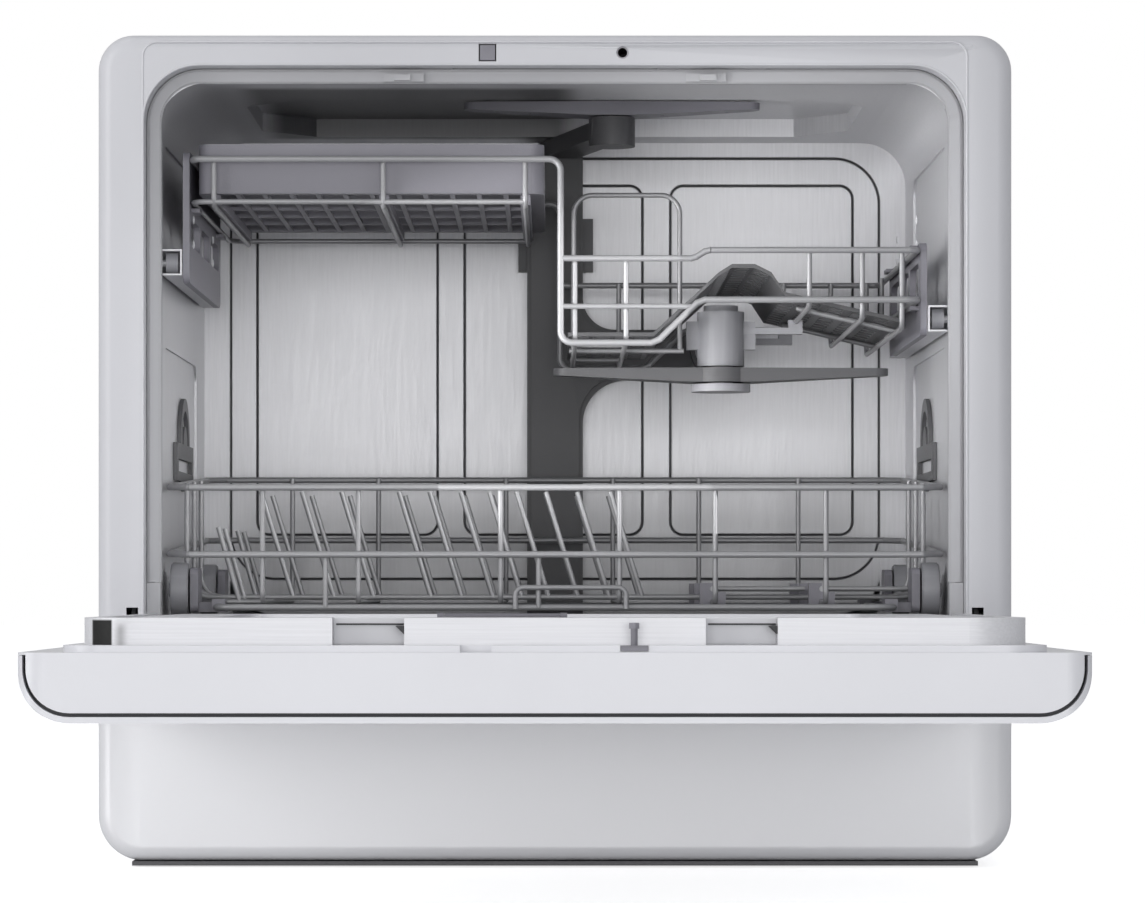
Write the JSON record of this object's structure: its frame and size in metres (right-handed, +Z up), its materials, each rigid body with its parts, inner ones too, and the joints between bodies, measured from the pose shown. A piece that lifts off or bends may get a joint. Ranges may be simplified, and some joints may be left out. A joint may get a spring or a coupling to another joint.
{
  "type": "countertop dishwasher",
  "caption": "Compact front-opening dishwasher for a worktop, with a drop-down door, stepped upper rack, lower rack, turning spray arms, filter, pumps and rear water connections.",
  "frame": {"origin": "on the standing surface's level (1 mm below the base tray's underside, where the feet end), under the middle of the casing's width and depth", "axes": "+Z up, +X to the right as seen from in front, +Y to the back, where the water connections are; the door opens towards -Y"},
  "size_m": [0.55, 0.795, 0.5],
  "materials": {
    "white_paint": "satin",
    "white_plastic": "satin",
    "galvanised_steel": "satin",
    "spring_steel": "polished",
    "stainless": "brushed",
    "dark_plastic": "matte",
    "grey_plastic": "matte",
    "light_plastic": "matte",
    "rubber_seal": "matte",
    "black_gloss": "gloss",
    "rack_wire": "satin",
    "rail_steel": "satin"
  },
  "bodies": {
    "cabinet": {"casing": "white_paint", "front_frame": "white_plastic", "lower_front_panel": "white_plastic", "base_tray": "dark_plastic", "feet": "grey_plastic", "rear_cover": "galvanised_steel", "case_screws": "galvanised_steel", "tub": "stainless", "tub_base": "dark_plastic", "sump": "dark_plastic", "filter_plate": "stainless", "wash_pump": "dark_plastic", "drain_pump": "dark_plastic", "inlet_valve": "light_plastic", "power_inlet": "black_gloss", "control_box": "dark_plastic", "door_gasket": "rubber_seal", "bottom_seal": "rubber_seal", "water_column": "dark_plastic", "side_ports": "dark_plastic", "lower_arm_hub": "dark_plastic", "hinge_brackets": "galvanised_steel", "door_springs": "spring_steel", "latch_housing": "dark_plastic"},
    "door": {"door_outer_panel": "white_plastic", "door_inner_shell": "white_plastic", "door_core": "rubber_seal", "door_liner": "stainless", "hinge_arms": "galvanised_steel", "strike_pin": "grey_plastic", "dispenser_body": "grey_plastic", "control_window": "black_gloss", "door_grip": "grey_plastic"},
    "lid": {"dispenser_lid": "grey_plastic"},
    "cap": {"rinse_cap": "light_plastic"},
    "filter": {"filter_basket": "grey_plastic"},
    "float": {"float": "light_plastic"},
    "opener": {"opener_rod": "grey_plastic"},
    "lower_arm": {"lower_spray_arm": "dark_plastic"},
    "top_arm": {"top_spray_arm": "grey_plastic"},
    "middle_arm": {"middle_spray_arm": "dark_plastic"},
    "lower_rack": {"lower_rack_frame": "rack_wire", "tine_clips": "grey_plastic", "wheel_carriers": "grey_plastic"},
    "tine_row_left": {"folding_tines_left": "rack_wire"},
    "tine_row_right": {"folding_tines_right": "rack_wire"},
    "upper_rack": {"upper_rack_frame": "rack_wire", "shelf_tray": "grey_plastic", "basket_floor_mesh": "dark_plastic", "rack_brackets": "grey_plastic", "upper_rails": "rail_steel", "feed_tube": "light_plastic"},
    "wheel_front_left": {"wheel_front_left": "light_plastic"},
    "roller_front_left": {"roller_front_left": "light_plastic"},
    "wheel_front_right": {"wheel_front_right": "light_plastic"},
    "roller_front_right": {"roller_front_right": "light_plastic"},
    "wheel_rear_left": {"wheel_rear_left": "light_plastic"},
    "roller_rear_left": {"roller_rear_left": "light_plastic"},
    "wheel_rear_right": {"wheel_rear_right": "light_plastic"},
    "roller_rear_right": {"roller_rear_right": "light_plastic"}
  },
  "joints": [
    {"name": "door_hinge", "type": "hinge", "parent": "cabinet", "child": "door", "pos_m": [0, -0.205, 0.1387], "axis": [1, 0, 0], "range_deg": [-90, 0], "deforming": ["door_springs"]},
    {"name": "lid_hinge", "type": "hinge", "parent": "door", "child": "lid", "pos_m": [-0.03, -0.326, 0.1512], "axis": [-1, 0, 0], "range_deg": [0, 180]},
    {"name": "cap_twist", "type": "hinge", "parent": "door", "child": "cap", "pos_m": [0.038, -0.365, 0.13], "axis": [0, 0, 1], "range_deg": [0, 90]},
    {"name": "filter_twist", "type": "hinge", "parent": "cabinet", "child": "filter", "pos_m": [0.03, -0.019, 0.12], "axis": [0, 0, 1], "range_deg": [0, 40]},
    {"name": "float_lift", "type": "slide", "parent": "cabinet", "child": "float", "axis": [0, 0, 1], "range_m": [0, 0.008]},
    {"name": "opener_push", "type": "slide", "parent": "cabinet", "child": "opener", "axis": [0, -1, 0], "range_m": [0, 0.03]},
    {"name": "lower_arm_spin", "type": "hinge", "parent": "cabinet", "child": "lower_arm", "pos_m": [0, -0.019, 0.14], "axis": [0, 0, 1], "continuous": true},
    {"name": "top_arm_spin", "type": "hinge", "parent": "cabinet", "child": "top_arm", "pos_m": [0.037, -0.004, 0.478], "axis": [0, 0, 1], "continuous": true},
    {"name": "middle_arm_spin", "type": "hinge", "parent": "upper_rack", "child": "middle_arm", "pos_m": [0.106, -0.045, 0.303], "axis": [0, 0, 1], "continuous": true},
    {"name": "lower_rack_slide", "type": "slide", "parent": "cabinet", "child": "lower_rack", "axis": [0, -1, 0], "range_m": [0, 0.26]},
    {"name": "upper_rack_slide", "type": "slide", "parent": "cabinet", "child": "upper_rack", "axis": [0, -1, 0], "range_m": [0, 0.2]},
    {"name": "tine_fold_left", "type": "hinge", "parent": "lower_rack", "child": "tine_row_left", "pos_m": [0.097, -0.044, 0.1672], "axis": [0, 1, 0], "range_deg": [-80, 0]},
    {"name": "tine_fold_right", "type": "hinge", "parent": "lower_rack", "child": "tine_row_right", "pos_m": [0.164, -0.044, 0.1672], "axis": [0, 1, 0], "range_deg": [-80, 0]},
    {"name": "wheel_front_left_spin", "type": "hinge", "parent": "lower_rack", "child": "wheel_front_left", "pos_m": [-0.23, -0.143, 0.1667], "axis": [1, 0, 0], "range_deg": [-1, 895]},
    {"name": "wheel_rear_left_spin", "type": "hinge", "parent": "lower_rack", "child": "wheel_rear_left", "pos_m": [-0.23, 0.057, 0.1667], "axis": [1, 0, 0], "range_deg": [-1, 895]},
    {"name": "roller_front_left_spin", "type": "hinge", "parent": "cabinet", "child": "roller_front_left", "pos_m": [-0.2323, -0.171, 0.365], "axis": [1, 0, 0], "range_deg": [-1, 1742]},
    {"name": "roller_rear_left_spin", "type": "hinge", "parent": "cabinet", "child": "roller_rear_left", "pos_m": [-0.2323, -0.121, 0.365], "axis": [1, 0, 0], "range_deg": [-1, 1742]},
    {"name": "wheel_front_right_spin", "type": "hinge", "parent": "lower_rack", "child": "wheel_front_right", "pos_m": [0.23, -0.143, 0.1667], "axis": [1, 0, 0], "range_deg": [-1, 895]},
    {"name": "wheel_rear_right_spin", "type": "hinge", "parent": "lower_rack", "child": "wheel_rear_right", "pos_m": [0.23, 0.057, 0.1667], "axis": [1, 0, 0], "range_deg": [-1, 895]},
    {"name": "roller_front_right_spin", "type": "hinge", "parent": "cabinet", "child": "roller_front_right", "pos_m": [0.2323, -0.171, 0.331], "axis": [1, 0, 0], "range_deg": [-1, 1742]},
    {"name": "roller_rear_right_spin", "type": "hinge", "parent": "cabinet", "child": "roller_rear_right", "pos_m": [0.2323, -0.121, 0.331], "axis": [1, 0, 0], "range_deg": [-1, 1742]}
  ],
  "couplings": [
    {"joint": "wheel_front_left_spin", "follows": "lower_rack_slide", "rad_per_m": 59.88},
    {"joint": "wheel_rear_left_spin", "follows": "lower_rack_slide", "rad_per_m": 59.88},
    {"joint": "roller_front_left_spin", "follows": "upper_rack_slide", "rad_per_m": 151.52},
    {"joint": "roller_rear_left_spin", "follows": "upper_rack_slide", "rad_per_m": 151.52},
    {"joint": "wheel_front_right_spin", "follows": "lower_rack_slide", "rad_per_m": 59.88},
    {"joint": "wheel_rear_right_spin", "follows": "lower_rack_slide", "rad_per_m": 59.88},
    {"joint": "roller_front_right_spin", "follows": "upper_rack_slide", "rad_per_m": 151.52},
    {"joint": "roller_rear_right_spin", "follows": "upper_rack_slide", "rad_per_m": 151.52}
  ]
}
